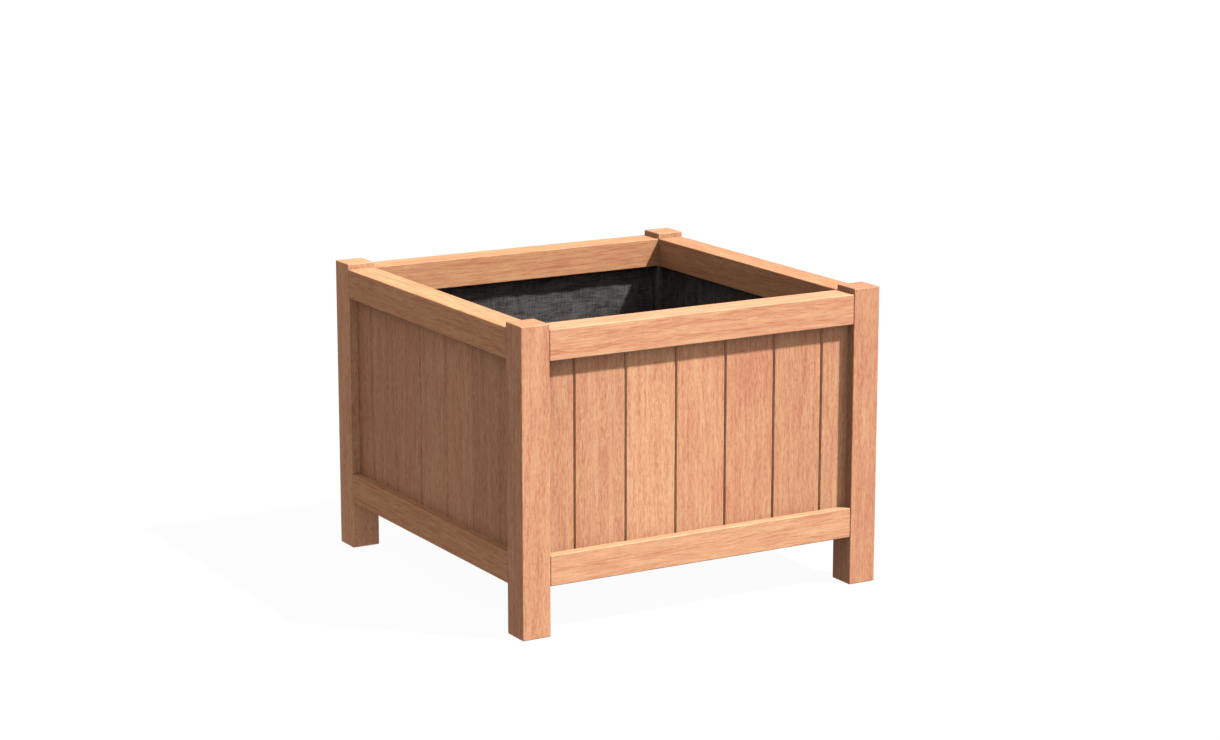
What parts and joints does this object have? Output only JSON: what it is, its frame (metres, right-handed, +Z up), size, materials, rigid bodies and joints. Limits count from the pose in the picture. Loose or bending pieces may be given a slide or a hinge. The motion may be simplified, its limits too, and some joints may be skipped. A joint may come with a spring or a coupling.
{
  "type": "planter box",
  "caption": "Square open-topped timber planter on corner posts, with tongue-and-groove side boards between rails, a slatted floor and a black woven liner for soil.",
  "frame": {"origin": "on the ground, under the middle of the box", "axes": "+Z up, front towards -Y, right towards +X"},
  "size_m": [0.8, 0.8, 0.6],
  "materials": {
    "frame_wood": "planed reddish hardwood, thin satin oil",
    "board_wood": "planed reddish hardwood boards, thin satin oil",
    "floor_wood": "sawn hardwood, unfinished",
    "dowel_wood": "fluted beech dowel",
    "liner_fabric": "black woven polypropylene ground fabric, matt",
    "fastener_steel": "zinc-plated steel"
  },
  "bodies": {
    "root": {"back_board_1": "board_wood", "back_board_2": "board_wood", "back_board_3": "board_wood", "back_board_4": "board_wood", "back_board_5": "board_wood", "back_board_6": "board_wood", "back_board_7": "board_wood", "back_bottom_rail": "frame_wood", "back_top_rail": "frame_wood", "floor_bearer_1": "floor_wood", "floor_bearer_2": "floor_wood", "floor_bearer_3": "floor_wood", "floor_slat_1": "floor_wood", "floor_slat_2": "floor_wood", "floor_slat_3": "floor_wood", "floor_slat_4": "floor_wood", "floor_slat_5": "floor_wood", "floor_slat_6": "floor_wood", "front_board_1": "board_wood", "front_board_2": "board_wood", "front_board_3": "board_wood", "front_board_4": "board_wood", "front_board_5": "board_wood", "front_board_6": "board_wood", "front_board_7": "board_wood", "front_bottom_rail": "frame_wood", "front_top_rail": "frame_wood", "left_board_1": "board_wood", "left_board_2": "board_wood", "left_board_3": "board_wood", "left_board_4": "board_wood", "left_board_5": "board_wood", "left_board_6": "board_wood", "left_board_7": "board_wood", "left_bottom_rail": "frame_wood", "left_top_rail": "frame_wood", "liner": "liner_fabric", "liner_staples": "fastener_steel", "post_back_left": "frame_wood", "post_back_right": "frame_wood", "post_front_left": "frame_wood", "post_front_right": "frame_wood", "rail_dowels": "dowel_wood", "right_board_1": "board_wood", "right_board_2": "board_wood", "right_board_3": "board_wood", "right_board_4": "board_wood", "right_board_5": "board_wood", "right_board_6": "board_wood", "right_board_7": "board_wood", "right_bottom_rail": "frame_wood", "right_top_rail": "frame_wood", "slat_screws": "fastener_steel"}
  },
  "joints": []
}
